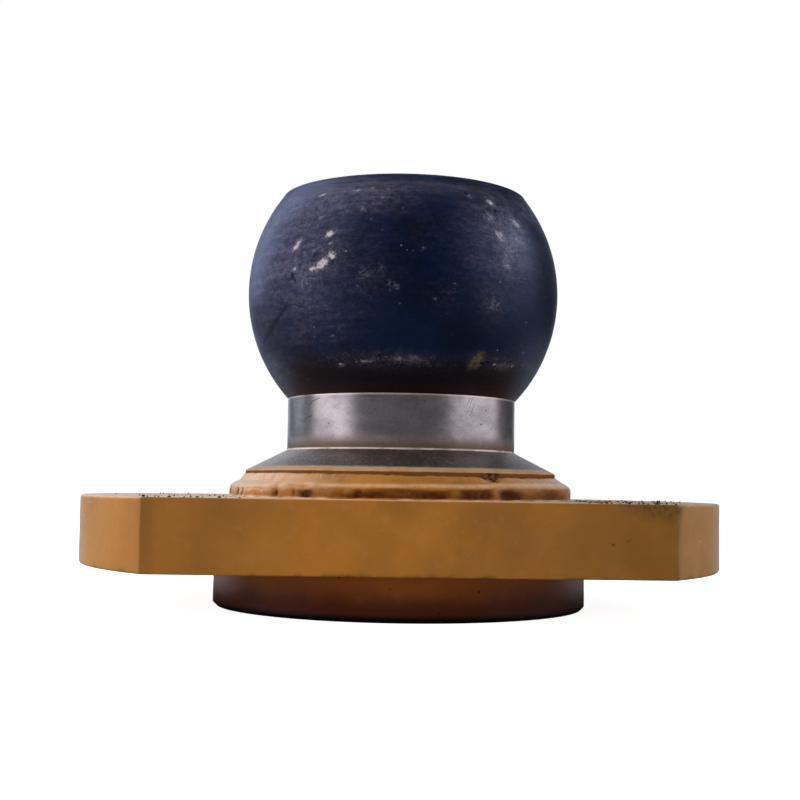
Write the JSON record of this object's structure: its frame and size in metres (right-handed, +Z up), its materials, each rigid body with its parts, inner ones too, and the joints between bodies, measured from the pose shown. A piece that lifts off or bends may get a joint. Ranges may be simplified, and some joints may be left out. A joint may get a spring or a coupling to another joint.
{
  "type": "dozer trunnion",
  "caption": "Flat-topped ball stud with a short neck and sloping collar, ring-welded through a thick round-ended plate, with a locating spigot below, for a push arm.",
  "frame": {"origin": "middle of the spigot's flat base, on which the part stands, on the ball's axis", "axes": "+Z up along the ball's axis; +X towards one round end of the plate; the plate's two flats face -Y and +Y"},
  "size_m": [0.38, 0.262, 0.2477],
  "materials": {
    "oxidised_forging": "turned steel forging: blue-black heat oxide on the ball, bare satin neck, dusty collar, brown-black spigot",
    "ochre_paint": "satin ochre enamel on thick cut plate, with grit and small stains",
    "painted_weld": "satin ochre enamel over a lumpy two-pass fillet weld"
  },
  "bodies": {
    "root": {"trunnion_ball": "oxidised_forging", "mounting_plate": "ochre_paint", "collar_weld": "painted_weld"}
  },
  "joints": []
}
